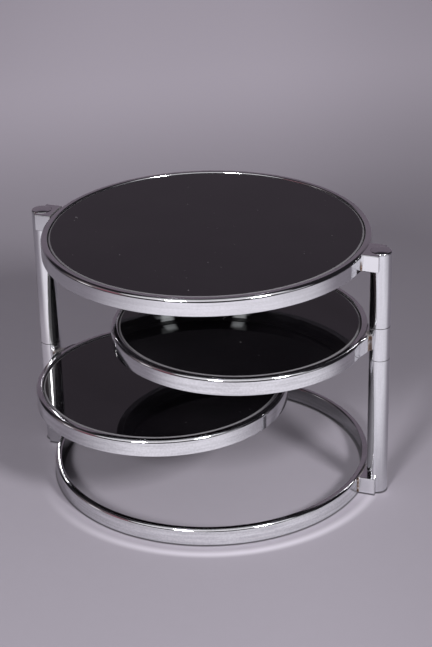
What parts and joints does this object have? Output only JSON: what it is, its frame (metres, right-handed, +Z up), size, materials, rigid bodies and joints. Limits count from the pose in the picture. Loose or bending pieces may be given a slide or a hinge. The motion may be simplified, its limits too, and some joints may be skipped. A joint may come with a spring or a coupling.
{
  "type": "tiered side table",
  "caption": "Round side table of chromed steel tube and black glass, with swivelling lower tiers on two posts.",
  "frame": {"origin": "on the floor, midway between the two post axes, below the centre of the top ring", "axes": "+X from the centre to the post that carries the middle tier, +Z up, both tiers swung a little towards -Y"},
  "size_m": [0.693, 0.6, 0.4875],
  "materials": {
    "ring_chrome": "bright plated",
    "post_chrome": "bright plated",
    "bracket_chrome": "bright plated, rusted at the joints",
    "black_glass": "polished black",
    "ledge_steel": "satin black",
    "core_steel": "zinc plated",
    "bush_nylon": "black nylon",
    "pad_vinyl": "clear vinyl",
    "glide_nylon": "grey nylon"
  },
  "bodies": {
    "frame": {"base_bracket_left": "bracket_chrome", "base_bracket_right": "bracket_chrome", "base_ring": "ring_chrome", "floor_glides": "glide_nylon", "left_cap": "post_chrome", "left_collars": "core_steel", "left_core_tube": "core_steel", "left_foot_plug": "core_steel", "left_lower_tube": "post_chrome", "left_tie_rod": "core_steel", "left_upper_tube": "post_chrome", "right_cap": "post_chrome", "right_collars": "core_steel", "right_core_tube": "core_steel", "right_foot_plug": "core_steel", "right_lower_tube": "post_chrome", "right_tie_rod": "core_steel", "right_upper_tube": "post_chrome", "tie_rod_nuts": "core_steel", "tie_rod_washers": "core_steel", "top_bracket_left": "bracket_chrome", "top_bracket_right": "bracket_chrome", "top_glass": "black_glass", "top_glass_pads": "pad_vinyl", "top_ledge": "ledge_steel", "top_ring": "ring_chrome"},
    "middle_tier": {"middle_bracket": "bracket_chrome", "middle_glass": "black_glass", "middle_glass_pads": "pad_vinyl", "middle_ledge": "ledge_steel", "middle_lower_bush": "bush_nylon", "middle_ring": "ring_chrome", "middle_sleeve": "post_chrome", "middle_upper_bush": "bush_nylon"},
    "lower_tier": {"lower_bracket": "bracket_chrome", "lower_glass": "black_glass", "lower_glass_pads": "pad_vinyl", "lower_ledge": "ledge_steel", "lower_lower_bush": "bush_nylon", "lower_ring": "ring_chrome", "lower_sleeve": "post_chrome", "lower_upper_bush": "bush_nylon"}
  },
  "joints": [
    {"name": "middle_swivel", "type": "hinge", "parent": "frame", "child": "middle_tier", "pos_m": [0.3275, 0, 0.307], "axis": [0, 0, 1], "continuous": true},
    {"name": "lower_swivel", "type": "hinge", "parent": "frame", "child": "lower_tier", "pos_m": [-0.3275, 0, 0.1795], "axis": [0, 0, 1], "continuous": true}
  ]
}
